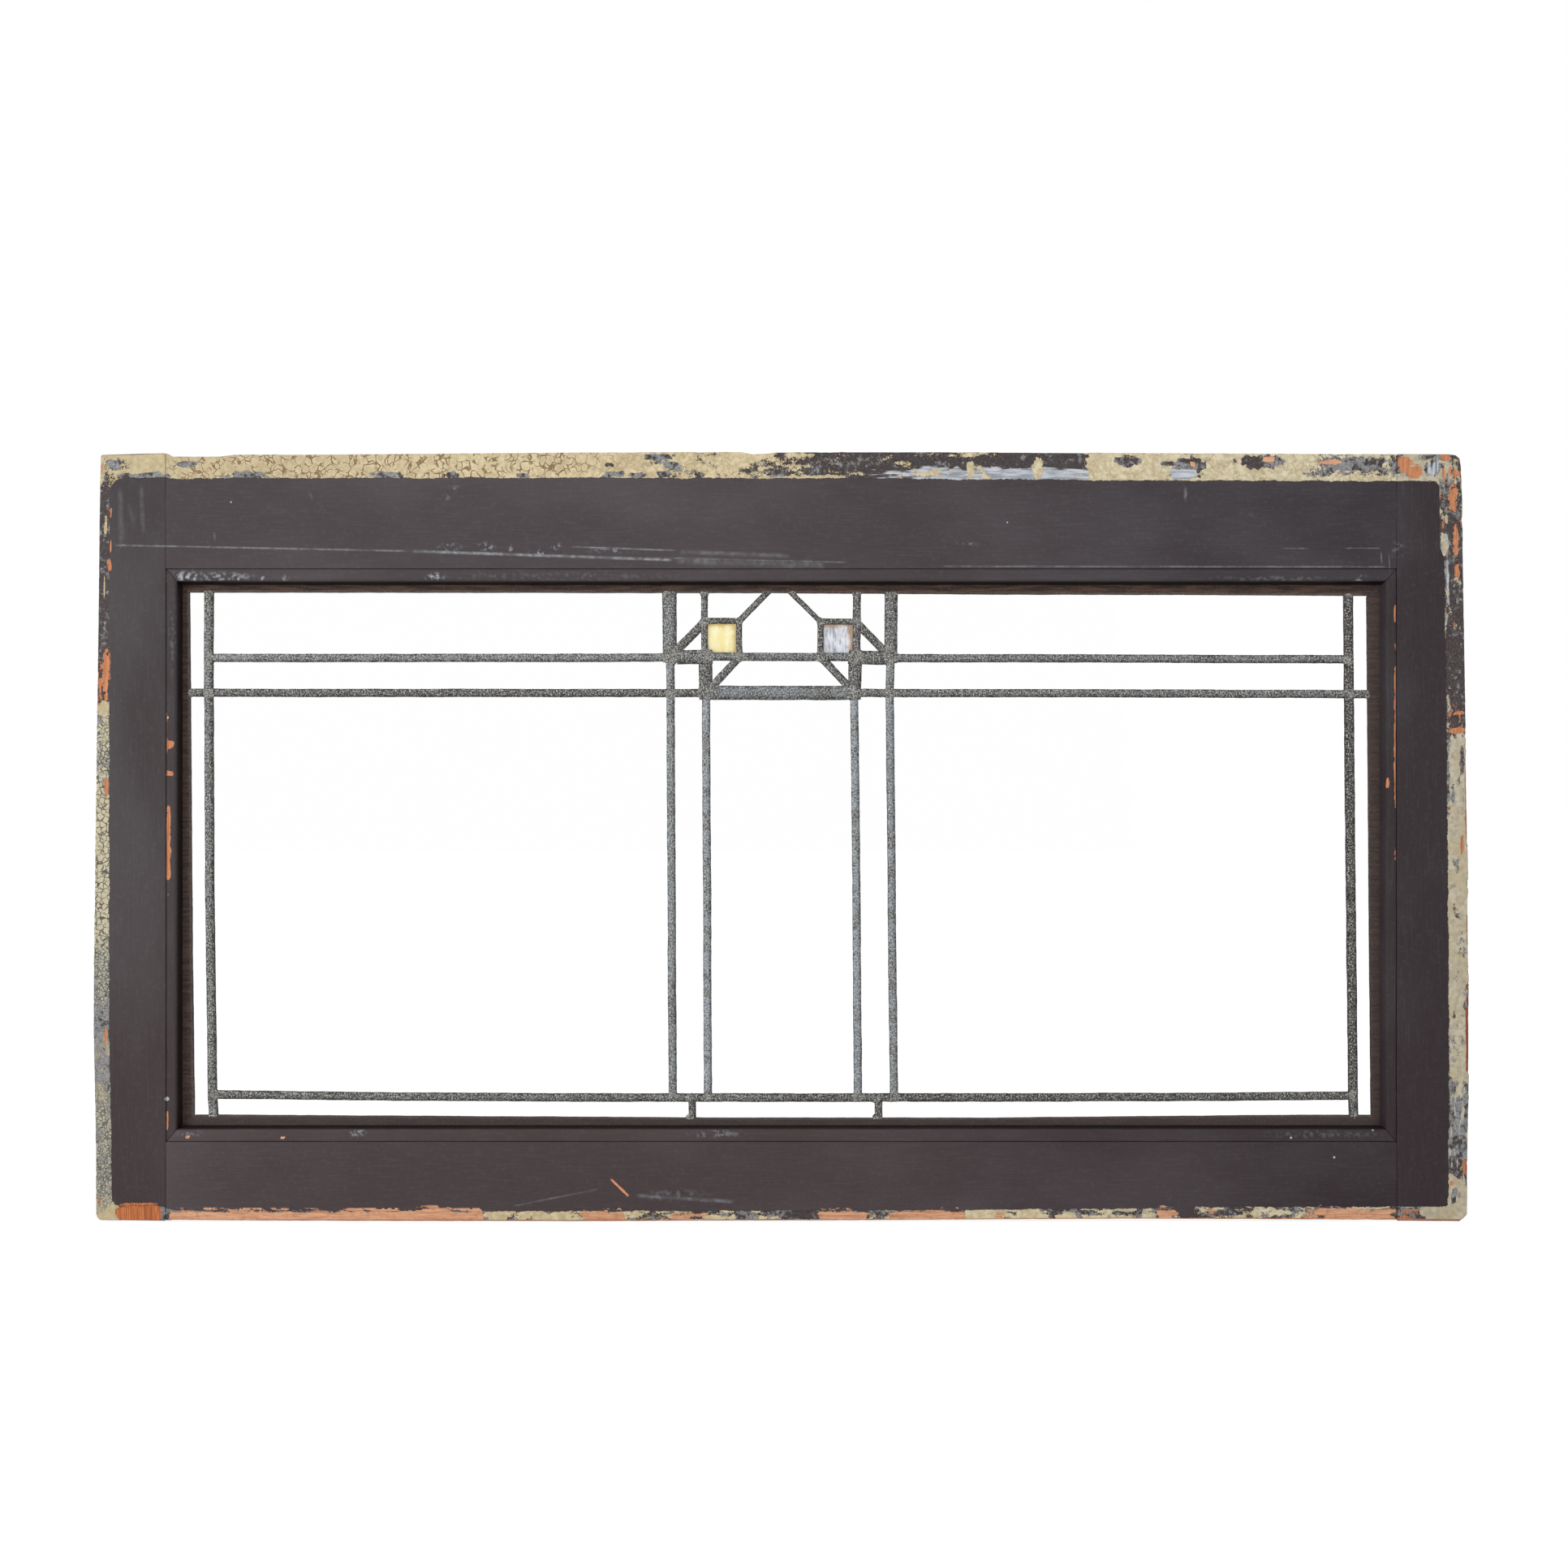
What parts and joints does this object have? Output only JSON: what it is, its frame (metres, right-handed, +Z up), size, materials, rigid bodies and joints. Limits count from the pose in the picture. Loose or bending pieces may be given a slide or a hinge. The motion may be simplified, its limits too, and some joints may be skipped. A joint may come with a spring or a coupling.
{
  "type": "leaded glass window sash",
  "caption": "Old painted wooden window sash with mortised rails and stiles, mitred glazing stops and a clear glass panel in metal cames with small coloured squares.",
  "frame": {"origin": "middle of the bottom edge of the sash, halfway through its thickness", "axes": "+X to the right seen from the front, +Y from the front face to the back, +Z up"},
  "size_m": [1.224, 0.035, 0.685],
  "materials": {
    "painted_wood": "old worn dark paint over older cream and grey-blue coats, bare wood at the edges",
    "stop_wood": "old worn dark paint, cracked along the edges",
    "bare_wood": "bare, dry",
    "came_metal": "dull mottled grey metal with pale bloom, solder at the joints",
    "clear_glass": "clear, slightly wavy old glass",
    "yellow_glass": "translucent amber-yellow, faintly streaked",
    "pale_glass": "translucent pale lilac-white with amber-brown edges"
  },
  "bodies": {
    "root": {"top_rail": "painted_wood", "bottom_rail": "painted_wood", "left_stile": "painted_wood", "right_stile": "painted_wood", "setting_blocks": "bare_wood", "top_stop": "stop_wood", "right_stop": "stop_wood", "bottom_stop": "stop_wood", "left_stop": "stop_wood", "border_came_top": "came_metal", "border_came_right": "came_metal", "border_came_bottom": "came_metal", "border_came_left": "came_metal", "outer_uprights": "came_metal", "bottom_bar": "came_metal", "side_upright_heads": "came_metal", "upper_bar_wide_pieces": "came_metal", "centre_upright_middles": "came_metal", "wide_centre_bar": "came_metal", "centre_upright_heads": "came_metal", "left_side_upright": "came_metal", "right_side_upright": "came_metal", "left_centre_upright": "came_metal", "right_centre_upright": "came_metal", "upper_bar_left": "came_metal", "upper_bar_right": "came_metal", "upper_bar_centre": "came_metal", "second_bar_left": "came_metal", "second_bar_right": "came_metal", "short_uprights": "came_metal", "square_cames": "came_metal", "upper_diagonals": "came_metal", "middle_diagonals": "came_metal", "lower_diagonals": "came_metal", "edge_panes": "clear_glass", "top_side_panes": "clear_glass", "top_centre_panes": "clear_glass", "second_row_panes": "clear_glass", "left_main_pane": "clear_glass", "right_main_pane": "clear_glass", "centre_main_panes": "clear_glass", "bottom_row_panes": "clear_glass", "yellow_square_glass": "yellow_glass", "pale_square_glass": "pale_glass"}
  },
  "joints": []
}
